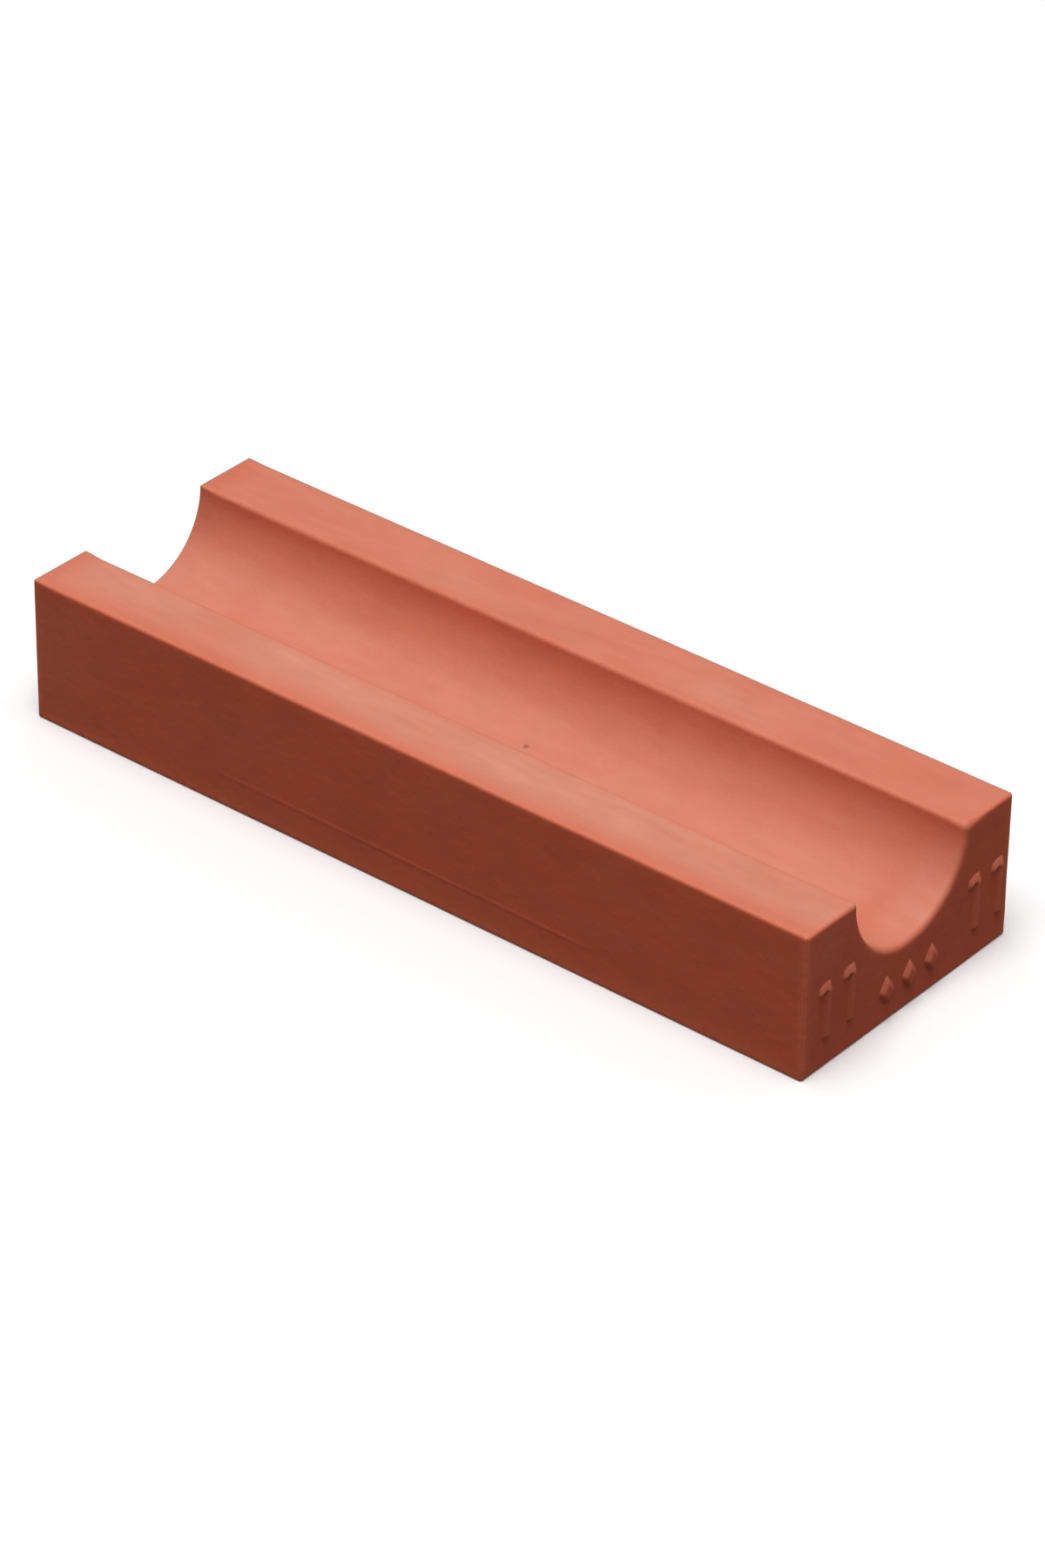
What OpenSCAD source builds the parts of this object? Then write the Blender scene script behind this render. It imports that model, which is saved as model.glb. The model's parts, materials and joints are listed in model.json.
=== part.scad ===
// Half of a cable-transit insert block: a solid rubber block with a half-round cable groove
// along its parting face and raised size numerals on one end. Two halves close round a cable.
// X runs along the cable, Y across the block and Z up; the origin is the centre of the base.

/* [Block] */
// Length of the block along the cable
block_l = 60; // [30:1:120]
// Width of the block across the cable
block_w = 20; // [20:0.5:40]
// Height of the half block from its base to the parting face
block_h = 10; // [10:0.5:20]

/* [Cable groove] */
// Diameter of the groove, a little under the cable's so that the rubber grips it
groove_d = 10.5; // [8:0.5:11]

/* [Edges] */
// Radius on the edges round the parting face
edge_r = 0.25; // [0.1:0.05:0.8]
// Radius on the edges round the base
base_r = 0.15; // [0.1:0.05:0.8]
// Radius on the two upright corners of the marked end
corner_r = 0.2; // [0.1:0.05:0.8]
// Radius on the other edges of the plain end and on the groove's mouth there
plain_r = 0.15; // [0.1:0.05:0.6]
// Radius on the two lips between the groove and the lands
lip_r = 0.35; // [0.1:0.05:0.6]
// Radius on the mouth of the groove at the marked end
mouth_r = 0.5; // [0.1:0.05:0.6]

/* [Marks] */
// How far the marks stand out of the end
mark_relief = 0.25; // [0.1:0.05:0.6]
// Height of the size numerals
numeral_h = 4.1; // [3:0.1:4.5]
// Width of the numerals' strokes
stroke_w = 0.6; // [0.4:0.05:0.8]
// Distance between the two strokes of a numeral pair
numeral_pitch = 2.3; // [1.8:0.1:2.4]
// Height of the lozenges under the groove
lozenge_h = 2.3; // [1.5:0.1:2.8]
// Width of each lozenge
lozenge_w = 1.5; // [1:0.1:2]
// Number of lozenges
lozenge_count = 3; // [1:1:4]

/* [Hidden] */
$fn = 96;
rubber = [0.74, 0.38, 0.28];
groove_r = groove_d / 2;
past = 1;

// The numerals' flags reach sideways and fall a little as they go, and add to the pair's width.
flag_run = 0.6;
flag_drop = 0.25;
flag_h = 0.75;
numeral_foot_z = 2;
pair_w = numeral_pitch + stroke_w + flag_run;

// The pairs stand under the lands, both moved a little towards the far side.
pair_inset = 2.75;
pair_shift = 0.3;
pair_y = block_w / 2 - pair_inset;

// The lozenges stand in a row under the middle of the groove.
lozenge_gap = 0.7;
lozenge_pitch = lozenge_w + lozenge_gap;
lozenge_row_w = lozenge_count * lozenge_pitch - lozenge_gap;
lozenge_y = 0.2;
lozenge_z = 2.3;

// Centre of the circle that rounds a lip, tangent to the land and to the groove.
lip_y = sqrt((groove_r + lip_r) ^ 2 - lip_r ^ 2);
lip_z = block_h - lip_r;

// Turns a shape drawn in X and Y, and extruded along Z, to lie in Y and Z and run along X.
module along_x() {
    rotate([90, 0, 90]) children();
}

// A rectangle standing on the X axis and centred on the Y axis. Its corner radii are given
// in turn from the low left one: low right, high right, high left.
module rounded_rectangle(w, h, r) {
    polygon([
        [-w / 2 + r[0], 0],
        [w / 2 - r[1], 0],
        [w / 2, r[1]],
        [w / 2, h - r[2]],
        [w / 2 - r[2], h],
        [-w / 2 + r[3], h],
        [-w / 2, h - r[3]],
        [-w / 2, r[0]]
    ]);
    translate([-w / 2 + r[0], r[0]]) circle(r[0]);
    translate([w / 2 - r[1], r[1]]) circle(r[1]);
    translate([w / 2 - r[2], h - r[2]]) circle(r[2]);
    translate([-w / 2 + r[3], h - r[3]]) circle(r[3]);
}

// The sliver that rounding takes off the lip on the positive side.
module lip_sliver() {
    difference() {
        polygon([[lip_y, lip_z], [lip_y, block_h + past], [0, block_h + past], [0, block_h]]);
        translate([lip_y, lip_z]) circle(lip_r);
    }
}

// Cross-section of the block without its groove, with both lips rounded.
module section() {
    difference() {
        rounded_rectangle(block_w, block_h, [base_r, base_r, edge_r, edge_r]);
        lip_sliver();
        mirror([1, 0]) lip_sliver();
    }
}

// The block's outside with all its outer edges rounded: two long ways, two across and four upright.
module blank() {
    intersection() {
        translate([-block_l / 2, 0, 0]) along_x() linear_extrude(block_l) section();
        translate([0, block_w / 2, 0]) rotate([90, 0, 0])
            linear_extrude(block_w)
                rounded_rectangle(block_l, block_h, [plain_r, base_r, edge_r, plain_r]);
        translate([0, -block_w / 2, 0])
            linear_extrude(block_h)
                rounded_rectangle(block_l, block_w, [plain_r, corner_r, corner_r, plain_r]);
    }
}

// What the groove takes away: a cylinder along X whose mouths open with a radius.
module groove() {
    translate([0, 0, block_h]) rotate([0, 90, 0]) rotate_extrude() {
        translate([0, -block_l / 2 - past]) square([groove_r, block_l + 2 * past]);
        mouth(mouth_r);
        mirror([0, 1]) mouth(plain_r);
    }
}

// Half-section of one flared mouth, from the axis outwards.
module mouth(r) {
    difference() {
        translate([0, block_l / 2 - r]) square([groove_r + r, r + past]);
        translate([groove_r + r, block_l / 2 - r]) circle(r);
    }
}

// Raises a shape drawn in Y and Z out of the marked end.
module on_marked_end() {
    translate([block_l / 2, 0, 0]) along_x() linear_extrude(mark_relief) children();
}

// The numeral one, standing on its foot: a plain stem with a short thick flag to the left.
module numeral_one() {
    polygon([
        [flag_run, 0],
        [flag_run + stroke_w, 0],
        [flag_run + stroke_w, numeral_h],
        [flag_run, numeral_h],
        [0, numeral_h - flag_drop],
        [0, numeral_h - flag_drop - flag_h],
        [flag_run, numeral_h - flag_h]
    ]);
}

// The cable's diameter in millimetres: two numerals side by side, centred on y.
module numerals(y) {
    color(rubber) on_marked_end()
        for (i = [0, 1])
            translate([y - pair_w / 2 + i * numeral_pitch, numeral_foot_z]) numeral_one();
}

module lozenge() {
    polygon([
        [lozenge_w / 2, 0],
        [lozenge_w, lozenge_h / 2],
        [lozenge_w / 2, lozenge_h],
        [0, lozenge_h / 2]
    ]);
}

// The solid rubber half with its groove.
module half_block() {
    color(rubber) difference() {
        blank();
        groove();
    }
}

// Size numerals on the near side of the groove.
module near_numerals() {
    numerals(pair_shift - pair_y);
}

// Size numerals on the far side of the groove.
module far_numerals() {
    numerals(pair_shift + pair_y);
}

// A row of plain lozenges under the groove.
module centre_mark() {
    color(rubber) on_marked_end()
        for (i = [0 : lozenge_count - 1])
            translate([lozenge_y + i * lozenge_pitch - lozenge_row_w / 2, lozenge_z - lozenge_h / 2])
                lozenge();
}

half_block();
near_numerals();
far_numerals();
centre_mark();
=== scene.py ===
"""Looks of a cable-transit insert half-block: a moulded rubber block with a groove and raised marks.

Shapes are worked out in millimetres in the row frame and turned into metres when a mesh is made.
X runs along the cable towards the marked end, Y across the block and Z up from its base.
"""

import json
import math

import bpy
import numpy as np
from mathutils import Matrix, Vector, noise


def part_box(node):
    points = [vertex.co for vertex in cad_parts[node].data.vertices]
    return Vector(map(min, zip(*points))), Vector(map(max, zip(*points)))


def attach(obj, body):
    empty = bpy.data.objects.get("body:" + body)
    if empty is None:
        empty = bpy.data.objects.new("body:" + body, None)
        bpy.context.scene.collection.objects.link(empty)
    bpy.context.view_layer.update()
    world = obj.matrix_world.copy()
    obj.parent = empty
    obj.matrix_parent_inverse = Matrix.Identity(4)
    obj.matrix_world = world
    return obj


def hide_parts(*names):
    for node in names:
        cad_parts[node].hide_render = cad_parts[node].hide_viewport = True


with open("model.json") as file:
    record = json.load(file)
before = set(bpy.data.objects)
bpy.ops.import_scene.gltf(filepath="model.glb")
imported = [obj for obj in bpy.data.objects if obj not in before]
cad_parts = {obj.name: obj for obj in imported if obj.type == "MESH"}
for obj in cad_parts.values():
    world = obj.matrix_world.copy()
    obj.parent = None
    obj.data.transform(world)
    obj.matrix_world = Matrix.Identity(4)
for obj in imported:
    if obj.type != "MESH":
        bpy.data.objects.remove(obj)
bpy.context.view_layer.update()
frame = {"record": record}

MM = 0.001


# ---------------------------------------------------------------- sizes from the frame

def node_box(node):
    """Lowest and highest corners of a CAD node, in millimetres."""
    low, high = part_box(node)
    return np.array(low) / MM, np.array(high) / MM


def groove_radius():
    """The cable groove's radius in millimetres, from the record's mount."""
    for mount in frame["record"]["mounts"]:
        if mount["name"] == "cable_groove":
            return mount["dims"]["r_mm"]
    raise ValueError("the record has no cable_groove mount")


BLOCK_LOW, BLOCK_HIGH = node_box("half_block")
HALF_LENGTH = BLOCK_HIGH[0]
HALF_WIDTH = BLOCK_HIGH[1]
HEIGHT = BLOCK_HIGH[2]
GROOVE_R = groove_radius()

# Rounding of the edges round the parting face and round the base, and the heights between which one
# becomes the other.
EDGE_R = 0.25
BASE_R = 0.15
BASE_TO_EDGE_Z = (1.5, 4.0)

# Rounding of the groove's lips, the plain end, and the marked end's upright edges and mouth.
LIP_R = 0.35
PLAIN_R = 0.15
CORNER_R = 0.2
MOUTH_R = 0.45
NEAR_MOUTH_R = 0.28
NEAR_MOUTH_Y = (-5.0, -1.5)

# Distances from an edge over which its own rounding fades out.
END_FADE = (0.5, 1.5)
PLAIN_END_FADE = (0.2, 1.6)
LIP_FADE = (0.5, 2.0)

# How far every rounding wanders along its edge, as a share of it, and how slowly.
RADIUS_DRIFT = 0.12
DRIFT_LENGTH = 5.0

# Spacing of the block's mesh: fine at an edge and growing away from it.
FINE = 0.05
COARSE = 0.38
GROWTH = 1.22

# The faces' slow waviness, which only ever goes inwards.
WAVE_DEPTH = 0.035
WAVE_LENGTH = 7.0

# The faint ridge that the mould leaves along each long side.
WITNESS_Z = 2.25
WITNESS_HALF_LENGTH = 16.0
WITNESS_FADE = 5.0
WITNESS_HEIGHT = 0.03
WITNESS_HALF_WIDTH = 0.16

# Width of the rubbed band along the edges, which is partly painted highlight, and of the painted bounce
# light along the base's edges.
WEAR_AND_HIGHLIGHT_WIDTH = 0.4
BASE_BOUNCE_WIDTH = 0.9

# Along the base's long edges a stronger band is painted as light bounced from the floor, and the upright
# edges get the strongest painted highlight, a little round on the end.
BASE_BOUNCE_LIGHT = 1.3
UPRIGHT_HIGHLIGHT = 1.9
UPRIGHT_HIGHLIGHT_WIDTH = 0.42
UPRIGHT_HIGHLIGHT_SHIFT = 0.12

# A painted highlight on the rounded mouth at the marked end, and how far round it reaches.
RIM_HIGHLIGHT = 0.2
RIM_WIDTH = 0.35

# The thickness of the pale bloom and painted sheen on the near land, the far one, the groove's floor and
# high on its wall.
NEAR_BLOOM_AND_SHEEN = 0.62
FAR_BLOOM_AND_SHEEN = 0.42
FLOOR_BLOOM_AND_SHEEN = 0.60
WALL_BLOOM_AND_SHEEN = 0.17

# How fast it thins as a land or the groove's wall turns away from straight up: the sheen is painted light
# from overhead.
LAND_FALLOFF = 1.3
WALL_FALLOFF = 0.9

# It is thinner in a band along the near edge and the plain end.
RUBBED_BAND = 2.2
RUBBED_SHARE = 0.6

# Patches of more or less bloom: centre, half lengths and amount.
SMEARS = (
    ((-17.5, -7.6, 10.0), (4.0, 2.2, 1.0), -0.14),
    ((-12.0, -6.4, 10.0), (3.0, 0.7, 1.0), 0.10),
    ((-6.0, -7.4, 10.0), (5.0, 1.2, 1.0), 0.05),
    ((9.0, -7.2, 10.0), (6.5, 1.6, 1.0), 0.12),
    ((24.0, -7.0, 10.0), (4.0, 1.5, 1.0), -0.06),
    ((-10.0, 7.4, 10.0), (2.5, 1.4, 1.0), 0.10),
    ((12.0, 7.2, 10.0), (4.5, 1.6, 1.0), 0.14),
    ((24.5, 7.6, 10.0), (3.5, 1.8, 1.0), -0.10),
    ((-26.5, 0.5, 5.0), (2.0, 3.5, 2.0), 0.06),
    ((-23.0, 0.5, 5.0), (0.9, 4.5, 3.0), -0.10),
    ((26.6, 0.5, 5.0), (1.0, 5.0, 3.0), -0.20),
    ((8.0, 0.8, 5.0), (6.0, 2.0, 1.0), 0.07),
    ((-30.0, -10.0, 6.0), (4.0, 0.5, 4.0), 0.10),
    ((30.0, -8.5, 8.5), (0.5, 4.5, 2.5), 0.08),
)

# How much of the colour of bloom and painted sheen a full coat of it shows, and the one dark speck in the
# groove.
BLOOM_AND_SHEEN_STRENGTH = 0.27
SPECK = (0.2, 1.3, 4.86)

# Raised marks: how deep they are rooted in the block, how far their flanks lie outside and inside the
# outline, how far down from its upper edge the long upper flank goes, and the share of the height that
# this flank starts from.
MARK_ROOT = 0.12
MARK_SLOPE = (0.12, 0.2)
MARK_BROW = 0.65
MARK_BROW_START = 0.25

# Spacing of their mesh, the softening's width and reach in cells of it, and their bloom and painted
# sheen: the bloom that every face has, and the painted sheen that a face that looks straight up has on
# top of that.
MARK_GRID = 0.04
MARK_SOFTNESS = 2.2
MARK_SOFT_REACH = 5
MARK_BLOOM_AND_SHEEN = (0.08, 0.35)

# The numeral one's stem and flag, and the row of lozenges.
STROKE = 0.6
FLAG_RUN = 0.6
FLAG_DROP = 0.25
FLAG_HEIGHT = 0.75
LOZENGE_COUNT = 3
LOZENGE_GAP = 0.7

# Colours of the rubber.
BRICK_DARK = (0.53, 0.090, 0.033, 1)
BRICK_LIGHT = (0.57, 0.098, 0.037, 1)
# The bloom colour also paints a sheen on faces that look up.
BLOOM_AND_SHEEN_COLOUR = (0.80, 0.73, 0.56, 1)
# The rubbed colour also paints edge highlights and the bounce of floor light along the base.
RUBBED_AND_LIT_COLOUR = (0.66, 0.145, 0.065, 1)
SPECK_COLOUR = (0.16, 0.05, 0.05, 1)


# ---------------------------------------------------------------- mesh helpers

def graded(stops):
    """Positions from the first stop to the last, fine at each stop and coarse between them."""
    rows = [stops[0]]
    for start, end in zip(stops[:-1], stops[1:]):
        half = (end - start) / 2
        steps = []
        step = FINE
        while sum(steps) < half:
            steps.append(min(step, COARSE))
            step *= GROWTH
        near = np.cumsum(steps) * half / sum(steps)
        rows += list(start + near) + list(end - near[-2::-1]) + [end]
    return np.array(rows)


def smoothstep(low, high, value):
    t = np.clip((value - low) / (high - low), 0.0, 1.0)
    return t * t * (3.0 - 2.0 * t)


def smooth_noise(points, length, seed, stretch=(1.0, 1.0, 1.0)):
    """Smooth noise from -1 to 1 at each point, with features about a length long."""
    scale = np.array([1.0 / (length * s) for s in stretch])
    offset = np.array([13.7, 7.1, 3.3]) * seed
    scaled = points * scale + offset
    return np.array([noise.noise(Vector(p)) for p in scaled])


def mesh_object(name, points_mm, faces):
    """A smooth-shaded mesh piece from points in millimetres."""
    mesh = bpy.data.meshes.new(name)
    mesh.from_pydata([tuple(p) for p in np.asarray(points_mm) * MM], [], faces)
    mesh.validate()
    mesh.shade_smooth()
    piece = bpy.data.objects.new(name, mesh)
    bpy.context.scene.collection.objects.link(piece)
    return piece


def paint_attribute(piece, name, values):
    """Stores one number per vertex, for the material to read."""
    attribute = piece.data.attributes.new(name, "FLOAT", "POINT")
    attribute.data.foreach_set("value", np.asarray(values, np.float32))


# ---------------------------------------------------------------- the block

def outline_point(s):
    """Point on the outside of the section, s millimetres from the near top edge, round under the base."""
    side, base = HEIGHT, 2 * HALF_WIDTH
    if s <= side:
        return -HALF_WIDTH, HEIGHT - s
    if s <= side + base:
        return s - side - HALF_WIDTH, 0.0
    return HALF_WIDTH, s - side - base


def groove_point(outline_y, outline_z):
    """The point of the groove's wall that lies straight towards the groove's axis."""
    reach = math.hypot(outline_y, outline_z - HEIGHT)
    return outline_y * GROOVE_R / reach, HEIGHT + (outline_z - HEIGHT) * GROOVE_R / reach


def block_lattice():
    """Rows round the outline, across from groove to outside, and along the block."""
    side, base = HEIGHT, 2 * HALF_WIDTH
    witness = HEIGHT - WITNESS_Z
    stops = [0, witness, side, side + base, 2 * side + base - witness, 2 * side + base]
    around = graded(stops)
    across = graded([0, HALF_WIDTH - GROOVE_R]) / (HALF_WIDTH - GROOVE_R)
    along = graded([-HALF_LENGTH, HALF_LENGTH])
    return around, across, along


def block_surface():
    """The sharp-edged block as one closed grid: its points and its faces."""
    around, across, along = block_lattice()
    last = (len(around) - 1, len(across) - 1, len(along) - 1)
    index = {}
    points = []

    def vertex(i, j, k):
        key = (i, j, k)
        if key not in index:
            outer = np.array(outline_point(around[i]))
            inner = np.array(groove_point(*outer))
            section = inner + (outer - inner) * across[j]
            index[key] = len(points)
            points.append((along[k], section[0], section[1]))
        return index[key]

    def quads(corner, rows, columns, flip):
        for a in range(rows):
            for b in range(columns):
                ring = [corner(a, b), corner(a + 1, b), corner(a + 1, b + 1), corner(a, b + 1)]
                faces.append(ring[::-1] if flip else ring)

    faces = []
    n_around, n_across, n_along = last
    for j, flip in ((0, True), (n_across, False)):
        quads(lambda a, b: vertex(a, j, b), n_around, n_along, flip)
    for i, flip in ((0, False), (n_around, True)):
        quads(lambda a, b: vertex(i, a, b), n_across, n_along, flip)
    for k, flip in ((0, False), (n_along, True)):
        quads(lambda a, b: vertex(a, b, k), n_around, n_across, flip)
    return np.array(points), faces


def core_point(points, radius):
    """The nearest point to each point on the block shrunk by a radius on all its faces."""
    low = np.array([-HALF_LENGTH, -HALF_WIDTH, 0.0])
    high = np.array([HALF_LENGTH, HALF_WIDTH, HEIGHT])
    core = np.clip(points, low + radius[:, None], high - radius[:, None])
    wall = GROOVE_R + radius

    # Where that lands in the widened groove, the nearest point is on the groove's wall.
    y, z = points[:, 1], points[:, 2] - HEIGHT
    reach = np.hypot(y, z)
    in_groove = np.hypot(core[:, 1], core[:, 2] - HEIGHT) < wall
    on_wall = np.stack([y * wall / reach, HEIGHT + z * wall / reach], axis=1)

    # Near a lip it is the corner where that wall meets the shrunk land.
    lip_y = np.sign(y) * np.sqrt(wall**2 - radius**2)
    at_lip = on_wall[:, 1] > HEIGHT - radius
    on_wall[at_lip, 0] = lip_y[at_lip]
    on_wall[at_lip, 1] = (HEIGHT - radius)[at_lip]
    core[in_groove, 1:] = on_wall[in_groove]
    return core


def wall_distance(points):
    """How far each point lies outside the groove's wall."""
    return np.hypot(points[:, 1], points[:, 2] - HEIGHT) - GROOVE_R


def edge_radius(points):
    """The rounding that each point takes, blended between the block's edges."""
    to_end = HALF_LENGTH - np.abs(points[:, 0])
    to_wall = wall_distance(points)
    at_lip = 1.0 - smoothstep(*LIP_FADE, to_wall)
    at_plain_end = 1.0 - smoothstep(*PLAIN_END_FADE, HALF_LENGTH + points[:, 0])
    at_marked_end = (1.0 - smoothstep(*END_FADE, to_end)) * (points[:, 0] > 0)
    at_mouth = at_marked_end * (1.0 - smoothstep(*END_FADE, to_wall))
    mouth_radius = NEAR_MOUTH_R + (MOUTH_R - NEAR_MOUTH_R) * smoothstep(*NEAR_MOUTH_Y, points[:, 1])
    radius = BASE_R + (EDGE_R - BASE_R) * smoothstep(*BASE_TO_EDGE_Z, points[:, 2])
    for blend, edge in ((at_lip, LIP_R), (at_plain_end, PLAIN_R), (at_mouth, mouth_radius)):
        radius += (edge - radius) * blend
    return radius * (1.0 + RADIUS_DRIFT * smooth_noise(points, DRIFT_LENGTH, 1))


def rounded_block(points):
    """Rounds the sharp block's edges. Returns the points and their outward normals."""
    radius = edge_radius(points)
    core = core_point(points, radius)
    out = points - core
    normal = out / np.linalg.norm(out, axis=1)[:, None]
    return rounded_in_plan(core + normal * radius[:, None]), normal


def rounded_in_plan(points):
    """Rounds the marked end's two upright edges, alike at every height."""
    centre = np.array([HALF_LENGTH - CORNER_R, HALF_WIDTH - CORNER_R])
    out = np.stack([points[:, 0], np.abs(points[:, 1])], axis=1) - centre
    near = (out > 0).all(axis=1)
    out = out[near] * (out[near].max(axis=1) / np.linalg.norm(out[near], axis=1))[:, None]
    points[near, 0] = centre[0] + out[:, 0]
    points[near, 1] = np.sign(points[near, 1]) * (centre[1] + out[:, 1])
    return points


def witness_ridge(points):
    """Height of the mould's faint ridge at each point of the long sides."""
    on_side = np.abs(points[:, 1]) > HALF_WIDTH - 0.01
    across = np.clip(1.0 - ((points[:, 2] - WITNESS_Z) / WITNESS_HALF_WIDTH) ** 2, 0.0, 1.0)
    ends = 1.0 - smoothstep(WITNESS_HALF_LENGTH - WITNESS_FADE, WITNESS_HALF_LENGTH, np.abs(points[:, 0]))
    broken = 0.6 + 0.4 * smooth_noise(points, 3.0, 5)
    return WITNESS_HEIGHT * across * ends * broken * on_side


def edge_wear(points):
    """How much each point is rubbed near a moulded edge, with painted highlights on the edges and painted
    light bounced from the floor along the base.
    """
    to_end = HALF_LENGTH - np.abs(points[:, 0])
    to_side = HALF_WIDTH - np.abs(points[:, 1])
    to_wall = np.abs(wall_distance(points))
    to_top = HEIGHT - points[:, 2]
    edges = [(to_end, to_wall), (to_end, to_top), (to_side, to_top), (to_wall, to_top)]
    nearest = np.min([np.hypot(one, other) for one, other in edges], axis=0)
    to_base = np.hypot(to_side, points[:, 2])
    to_upright = np.hypot(to_end, to_side - UPRIGHT_HIGHLIGHT_SHIFT)
    worn_and_lit = np.exp(-(nearest / WEAR_AND_HIGHLIGHT_WIDTH) ** 2)
    # Painted bounce light from the floor along the base, and a painted highlight on the upright edges.
    worn_and_lit = np.maximum(worn_and_lit, BASE_BOUNCE_LIGHT * np.exp(-(to_base / BASE_BOUNCE_WIDTH) ** 2))
    return np.maximum(worn_and_lit, UPRIGHT_HIGHLIGHT * np.exp(-(to_upright / UPRIGHT_HIGHLIGHT_WIDTH) ** 2))


def smears(points):
    """Soft patches where more bloom or less of it is left."""
    total = np.zeros(len(points))
    for centre, half_lengths, amount in SMEARS:
        away = (points - np.array(centre)) / np.array(half_lengths)
        total += amount * np.exp(-(away**2).sum(axis=1))
    return total


def bloom(points, normal):
    """How thick the pale bloom and the painted sheen are at each point, by where it is and which way it
    looks; faces that look up get more painted sheen.
    """
    y = points[:, 1]
    up = np.clip(normal[:, 2], 0.0, 1.0)
    to_rim = np.minimum(HALF_WIDTH + y, HALF_LENGTH + points[:, 0])
    kept = RUBBED_SHARE + (1.0 - RUBBED_SHARE) * smoothstep(0.0, RUBBED_BAND, to_rim)
    # Painted sheen: the more a land or the groove's wall looks up, the paler it is painted.
    on_land = up**LAND_FALLOFF * kept * np.where(y < 0, NEAR_BLOOM_AND_SHEEN, FAR_BLOOM_AND_SHEEN)
    in_groove = WALL_BLOOM_AND_SHEEN + (FLOOR_BLOOM_AND_SHEEN - WALL_BLOOM_AND_SHEEN) * up**WALL_FALLOFF
    to_wall = wall_distance(points)
    inside = 1.0 - smoothstep(0.0, 0.3, to_wall)
    to_mouth = np.hypot(to_wall, HALF_LENGTH - points[:, 0])
    # Painted highlight round the far side of the marked end's mouth.
    rim = RIM_HIGHLIGHT * np.exp(-(to_mouth / RIM_WIDTH) ** 2) * smoothstep(-1.0, 2.0, y)
    return np.clip(on_land + (in_groove - on_land) * inside + rim + smears(points), 0.0, 1.0)


def make_block():
    """The rubber block, with rounded edges, slow waviness and the mould's ridge."""
    sharp, faces = block_surface()
    points, normal = rounded_block(sharp)
    slow = smooth_noise(points, WAVE_LENGTH, 2, stretch=(2.0, 1.0, 1.0))
    quick = smooth_noise(points, WAVE_LENGTH / 4, 3, stretch=(1.5, 1.0, 1.0))
    wave = 0.5 + 0.35 * slow + 0.15 * quick
    ridge = witness_ridge(sharp)
    points = points - normal * (WAVE_DEPTH * wave - ridge)[:, None]
    points = np.clip(points, BLOCK_LOW, BLOCK_HIGH)
    piece = mesh_object("rubber_block", points, faces)
    paint_attribute(piece, "edge_wear", edge_wear(points))
    paint_attribute(piece, "bloom", bloom(points, normal))
    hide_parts("half_block")
    return piece


# ---------------------------------------------------------------- the raised marks

def outline_distance(y, z, outline):
    """Distance to a closed outline, negative outside it."""
    nearest = np.full(y.shape, np.inf)
    inside = np.zeros(y.shape, bool)
    for (ay, az), (by, bz) in zip(outline, outline[1:] + outline[:1]):
        along = ((y - ay) * (by - ay) + (z - az) * (bz - az)) / ((by - ay) ** 2 + (bz - az) ** 2)
        along = np.clip(along, 0.0, 1.0)
        nearest = np.minimum(nearest, np.hypot(y - ay - along * (by - ay), z - az - along * (bz - az)))
        crosses = (az > z) != (bz > z)
        if az != bz:
            inside ^= crosses & (y < ay + (z - az) * (by - ay) / (bz - az))
    return np.where(inside, nearest, -nearest)


def top_edge(y, outline):
    """Height of a closed outline's upper edge at each y, level beyond its ends."""
    highest = np.full(y.shape, -np.inf)
    low, high = min(p[0] for p in outline), max(p[0] for p in outline)
    y = np.clip(y, low, high)
    for (ay, az), (by, bz) in zip(outline, outline[1:] + outline[:1]):
        if ay != by:
            crossed = (y >= min(ay, by)) & (y <= max(ay, by))
            level = az + (y - ay) * (bz - az) / (by - ay)
            highest = np.where(crossed, np.maximum(highest, level), highest)
    return highest


def blurred(field, width):
    """A field softened over a few grid cells."""
    cells = np.arange(-MARK_SOFT_REACH, MARK_SOFT_REACH + 1)
    kernel = np.exp(-0.5 * (cells / width) ** 2)
    kernel /= kernel.sum()

    def soften(row):
        return np.convolve(np.pad(row, MARK_SOFT_REACH, "edge"), kernel, "valid")

    for axis in (0, 1):
        field = np.apply_along_axis(soften, axis, field)
    return field


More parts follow.
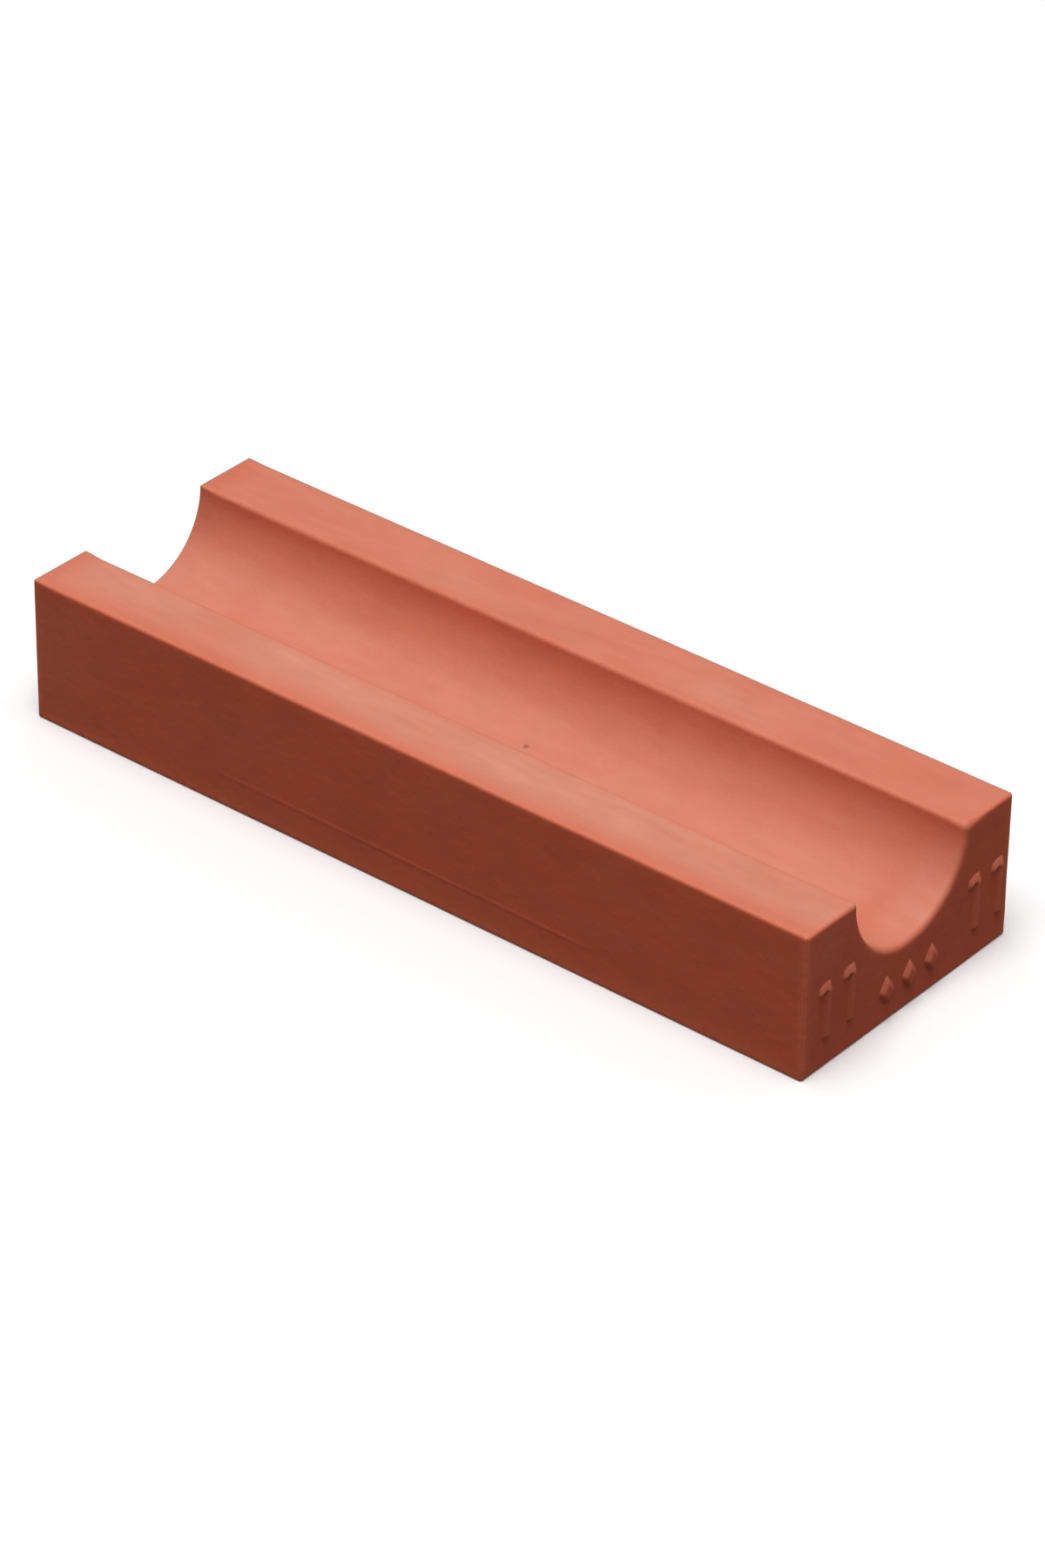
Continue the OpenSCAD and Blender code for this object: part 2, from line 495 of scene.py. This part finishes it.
def raised_mark(outline, face_x, relief):
    """One raised mark as a closed solid, on a root sunk into the block's end.

    Its upper flanks are long and gentle and its other flanks steep.
    """
    ys, zs = (np.array([p[axis] for p in outline]) for axis in (0, 1))
    outside, inside = MARK_SLOPE
    margin = 2 * outside
    grid_y = np.arange(ys.min() - margin, ys.max() + margin, MARK_GRID)
    grid_z = np.arange(zs.min() - margin, zs.max() + margin, MARK_GRID)
    y, z = np.meshgrid(grid_y, grid_z, indexing="ij")
    distance = outline_distance(y, z, outline)
    rise = smoothstep(-outside, inside, distance)
    down = np.clip((top_edge(y, outline) - z) / MARK_BROW, 0.0, 1.0)
    rise *= MARK_BROW_START + (1.0 - MARK_BROW_START) * down
    height = blurred(rise, MARK_SOFTNESS) * (relief + MARK_ROOT) - MARK_ROOT
    height[[0, -1], :] = -MARK_ROOT
    height[:, [0, -1]] = -MARK_ROOT
    rows, columns = y.shape
    top = np.stack([face_x + height, y, z], axis=-1).reshape(-1, 3)
    rim = [(i, 0) for i in range(rows)]
    rim += [(rows - 1, j) for j in range(1, columns)]
    rim += [(i, columns - 1) for i in range(rows - 2, -1, -1)]
    rim += [(0, j) for j in range(columns - 2, 0, -1)]
    rim = [i * columns + j for i, j in rim]
    bottom = top[rim] - np.array([MARK_ROOT, 0.0, 0.0])
    faces = []
    for i in range(rows - 1):
        for j in range(columns - 1):
            corner = i * columns + j
            faces.append([corner, corner + columns, corner + columns + 1, corner + 1])
    first = len(top)
    count = len(rim)
    for n in range(count):
        after = (n + 1) % count
        faces.append([rim[after], rim[n], first + n, first + after])
    faces.append([first + n for n in range(count)][::-1])
    return np.concatenate([top, bottom]), faces


def joined(solids):
    """Several solids as one list of points and faces."""
    points, faces, start = [], [], 0
    for solid_points, solid_faces in solids:
        points.append(solid_points)
        faces += [[start + v for v in face] for face in solid_faces]
        start += len(solid_points)
    return np.concatenate(points), faces


def mark_piece(name, solids, node):
    """The piece that stands for a node of marks, with a thin bloom and a painted sheen where it looks up.
    """
    piece = mesh_object(name, *joined(solids))
    normals = np.empty(3 * len(piece.data.vertices), np.float32)
    piece.data.vertex_normals.foreach_get("vector", normals)
    # Painted sheen: faces that look up are painted paler.
    thinnest, sheen_on_top = MARK_BLOOM_AND_SHEEN
    paint_attribute(piece, "bloom", thinnest + sheen_on_top * np.clip(normals[2::3], 0.0, 1.0))
    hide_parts(node)
    return piece


def numeral_outline(y, z, height):
    """Outline of the numeral one, with its flag's left edge at y and its foot at z."""
    return [
        (y + FLAG_RUN, z),
        (y + FLAG_RUN + STROKE, z),
        (y + FLAG_RUN + STROKE, z + height),
        (y + FLAG_RUN, z + height),
        (y, z + height - FLAG_DROP),
        (y, z + height - FLAG_DROP - FLAG_HEIGHT),
        (y + FLAG_RUN, z + height - FLAG_HEIGHT),
    ]


def lozenge_outline(y, z, width, height):
    """Outline of a lozenge, with its left corner at y and its lowest corner at z."""
    return [
        (y + width / 2, z),
        (y + width, z + height / 2),
        (y + width / 2, z + height),
        (y, z + height / 2),
    ]


def make_numerals(node, name):
    """A pair of raised numerals in the place of a CAD node's."""
    low, high = node_box(node)
    pitch = high[1] - low[1] - STROKE - FLAG_RUN
    solids = []
    for n in range(2):
        outline = numeral_outline(low[1] + n * pitch, low[2], high[2] - low[2])
        solids.append(raised_mark(outline, low[0], high[0] - low[0]))
    return mark_piece(name, solids, node)


def make_lozenges(node, name):
    """A row of raised lozenges in the place of a CAD node's."""
    low, high = node_box(node)
    width = (high[1] - low[1] - (LOZENGE_COUNT - 1) * LOZENGE_GAP) / LOZENGE_COUNT
    solids = []
    for n in range(LOZENGE_COUNT):
        outline = lozenge_outline(low[1] + n * (width + LOZENGE_GAP), low[2], width, high[2] - low[2])
        solids.append(raised_mark(outline, low[0], high[0] - low[0]))
    return mark_piece(name, solids, node)


# ---------------------------------------------------------------- the rubber

class Nodes:
    """Short calls for building a material's node tree."""

    def __init__(self, tree):
        self.tree = tree

    def add(self, kind, inputs=None, **settings):
        node = self.tree.nodes.new(kind)
        for name, value in settings.items():
            setattr(node, name, value)
        for socket, value in (inputs or {}).items():
            if isinstance(value, bpy.types.NodeSocket):
                self.tree.links.new(value, node.inputs[socket])
            else:
                node.inputs[socket].default_value = value
        return node

    def noise(self, coordinates, scale, detail=2.0, roughness=0.5, distortion=0.0):
        inputs = {"Vector": coordinates, "Scale": scale, "Detail": detail}
        inputs.update({"Roughness": roughness, "Distortion": distortion})
        return self.add("ShaderNodeTexNoise", inputs).outputs["Fac"]

    def math(self, operation, *values):
        return self.add("ShaderNodeMath", dict(enumerate(values)), operation=operation).outputs[0]

    def scaled(self, vector, scale):
        return self.add("ShaderNodeVectorMath", {0: vector, 1: scale}, operation="MULTIPLY").outputs[0]

    def remap(self, value, from_low, from_high, to_low=0.0, to_high=1.0):
        inputs = {"Value": value, "From Min": from_low, "From Max": from_high}
        inputs.update({"To Min": to_low, "To Max": to_high})
        node = self.add("ShaderNodeMapRange", inputs, interpolation_type="SMOOTHSTEP")
        return node.outputs["Result"]

    def mix(self, factor, first, second):
        node = self.add("ShaderNodeMix", data_type="RGBA")
        for socket, value in (("Factor_Float", factor), ("A_Color", first), ("B_Color", second)):
            target = next(s for s in node.inputs if s.identifier == socket)
            if isinstance(value, bpy.types.NodeSocket):
                self.tree.links.new(value, target)
            else:
                target.default_value = value
        return next(s for s in node.outputs if s.identifier == "Result_Color")

    def bump(self, height, distance, strength, under=None):
        inputs = {"Height": height, "Distance": distance, "Strength": strength}
        if under is not None:
            inputs["Normal"] = under
        return self.add("ShaderNodeBump", inputs).outputs["Normal"]


def rubber_material():
    """Matt brick-red moulded rubber with a pale bloom and painted sheen on its upper faces, and rubbed
    edges with painted highlights and painted floor bounce along the base.
    """
    material = bpy.data.materials.new("moulded_rubber_worn")
    material.use_nodes = True
    tree = material.node_tree
    tree.nodes.clear()
    n = Nodes(tree)
    place = n.add("ShaderNodeTexCoord").outputs["Object"]
    in_mm = n.scaled(place, (1000, 1000, 1000))
    drawn_out = n.scaled(in_mm, (0.22, 1, 1))

    # Colour: slow mottling, then the pale bloom and painted sheen in smears, then edges rubbed clean with
    # painted highlights and painted floor bounce, then the speck.
    mottle = n.noise(in_mm, 0.35, detail=4.0, roughness=0.6)
    colour = n.mix(n.remap(mottle, 0.3, 0.7), BRICK_DARK, BRICK_LIGHT)
    patches = n.remap(n.noise(drawn_out, 0.5, detail=3.0, roughness=0.55, distortion=0.6), 0.3, 0.7)
    streaks = n.remap(n.noise(drawn_out, 1.7, detail=3.0, roughness=0.6, distortion=0.3), 0.3, 0.75)
    uneven = n.math("MULTIPLY_ADD", patches, 0.22, n.math("MULTIPLY_ADD", streaks, 0.16, 0.81))
    # This attribute carries real bloom and the painted sheen on faces that look up.
    placed = n.add("ShaderNodeAttribute", attribute_name="bloom").outputs["Fac"]
    bloom = n.math("MULTIPLY", n.math("MULTIPLY", placed, uneven), BLOOM_AND_SHEEN_STRENGTH)
    bloom = n.math("ADD", bloom, n.math("MULTIPLY", patches, 0.008))
    colour = n.mix(bloom, colour, BLOOM_AND_SHEEN_COLOUR)
    # Rubbed edges, partly painted highlight, and painted bounce light along the base.
    near_edge = n.add("ShaderNodeAttribute", attribute_name="edge_wear").outputs["Fac"]
    rub_and_highlight = n.math("MULTIPLY", near_edge, n.remap(n.noise(in_mm, 1.2, detail=3.0), 0.25, 0.6, 0.45, 1.0))
    colour = n.mix(n.math("MULTIPLY", rub_and_highlight, 0.45), colour, RUBBED_AND_LIT_COLOUR)
    from_speck = n.add("ShaderNodeVectorMath", {0: in_mm, 1: SPECK}, operation="DISTANCE")
    speck = n.remap(from_speck.outputs["Value"], 0.10, 0.26, 1.0, 0.0)
    colour = n.mix(n.math("MULTIPLY", speck, 0.6), colour, SPECK_COLOUR)

    # Roughness: the bloom is duller and rubbed edges are a little smoother.
    dulled = n.remap(n.noise(in_mm, 1.1, detail=3.0), 0.3, 0.7, 0.52, 0.62)
    roughness = n.math("ADD", dulled, n.math("MULTIPLY", bloom, 0.5))
    roughness = n.math("SUBTRACT", roughness, n.math("MULTIPLY", rub_and_highlight, 0.08))

    # Relief: the mould's fine grain over a slow orange peel.
    peel = n.noise(in_mm, 1.3, detail=2.0)
    grain = n.noise(in_mm, 9.0, detail=3.0, roughness=0.65)
    normal = n.bump(peel, 0.00006, 0.5)
    normal = n.bump(grain, 0.00002, 0.5, under=normal)

    surface = {"Base Color": colour, "Roughness": roughness, "Normal": normal, "IOR": 1.5}
    shader = n.add("ShaderNodeBsdfPrincipled", surface)
    n.add("ShaderNodeOutputMaterial", {"Surface": shader.outputs["BSDF"]})
    return material


# ---------------------------------------------------------------- studio

FLOOR_HALF_WIDTH = 4.0
FLOOR_GAP = 0.00004

# The camera looks at a point in millimetres, from a distance in millimetres and angles in degrees.
CAMERA_TARGET = (1.26, -0.30, 3.42)
CAMERA_DISTANCE = 359.9
CAMERA_AZIMUTH = 39.01
CAMERA_ELEVATION = 33.08
CAMERA_ROLL = 0.93
LENS = 136.5
SENSOR_WIDTH = 24


def outward(azimuth, elevation):
    """The direction with an azimuth, from -Y towards +X, and an elevation in degrees."""
    a, e = math.radians(azimuth), math.radians(elevation)
    return Vector((math.sin(a) * math.cos(e), -math.cos(a) * math.cos(e), math.sin(e)))


def make_floor():
    """A plain pale floor, wide enough to fill every view, a hair under the base."""
    half = FLOOR_HALF_WIDTH
    corners = [(-half, -half, 0), (half, -half, 0), (half, half, 0), (-half, half, 0)]
    mesh = bpy.data.meshes.new("floor")
    mesh.from_pydata(corners, [], [(0, 1, 2, 3)])
    floor = bpy.data.objects.new("floor", mesh)
    bpy.context.scene.collection.objects.link(floor)
    material = bpy.data.materials.new("floor")
    material.use_nodes = True
    shader = material.node_tree.nodes["Principled BSDF"]
    shader.inputs["Base Color"].default_value = (0.9, 0.9, 0.9, 1)
    shader.inputs["Roughness"].default_value = 0.9
    shader.inputs["Specular IOR Level"].default_value = 0.0
    mesh.materials.append(material)
    floor.location.z = -FLOOR_GAP
    floor.visible_diffuse = False
    floor.visible_glossy = False


def area_light(name, azimuth, elevation, distance, size, power):
    """A square soft light that looks at the object from an azimuth and an elevation in degrees."""
    direction = outward(azimuth, elevation)
    data = bpy.data.lights.new(name, "AREA")
    data.shape = "SQUARE"
    data.size = size
    data.energy = power
    light = bpy.data.objects.new(name, data)
    light.location = direction * distance
    light.rotation_euler = (-direction).to_track_quat("-Z", "Y").to_euler()
    bpy.context.scene.collection.objects.link(light)


def make_world():
    """A soft dome, bright overhead and dark below the floor's level."""
    world = bpy.data.worlds.new("studio")
    bpy.context.scene.world = world
    world.use_nodes = True
    tree = world.node_tree
    tree.nodes.clear()
    n = Nodes(tree)
    direction = n.add("ShaderNodeTexCoord").outputs["Generated"]
    up = n.add("ShaderNodeSeparateXYZ", {0: direction}).outputs["Z"]
    above = n.remap(up, -0.02, 0.05)
    overhead = n.math("MULTIPLY", up, up)
    sky = n.math("ADD", n.math("MULTIPLY", overhead, 0.12), 0.31)
    level = n.math("ADD", n.math("MULTIPLY", above, sky), 0.08)
    background = n.add("ShaderNodeBackground", {"Color": (1, 1, 1, 1), "Strength": level})
    n.add("ShaderNodeOutputWorld", {"Surface": background.outputs["Background"]})


def make_camera():
    """A long lens from above the marked end's near corner."""
    back = outward(CAMERA_AZIMUTH, CAMERA_ELEVATION)
    data = bpy.data.cameras.new("camera")
    data.sensor_fit = "HORIZONTAL"
    data.sensor_width = SENSOR_WIDTH
    data.lens = LENS
    data.clip_start = 0.01
    data.clip_end = 20
    camera = bpy.data.objects.new("camera", data)
    place = Matrix.Translation((Vector(CAMERA_TARGET) + back * CAMERA_DISTANCE) * MM)
    level = (-back).to_track_quat("-Z", "Y").to_matrix().to_4x4()
    camera.matrix_world = place @ level @ Matrix.Rotation(math.radians(CAMERA_ROLL), 4, "Z")
    bpy.context.scene.collection.objects.link(camera)
    bpy.context.scene.camera = camera


def make_studio():
    make_floor()
    make_world()
    area_light("key", azimuth=19, elevation=80, distance=2.0, size=1.2, power=33)
    bpy.context.scene.view_settings.view_transform = "Standard"


# ---------------------------------------------------------------- scene

pieces = [
    make_block(),
    make_numerals("near_numerals", "near_size_numerals"),
    make_numerals("far_numerals", "far_size_numerals"),
    make_lozenges("centre_mark", "lozenge_row"),
]
rubber = rubber_material()
for piece in pieces:
    piece.data.materials.append(rubber)
    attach(piece, "root")

make_studio()
make_camera()
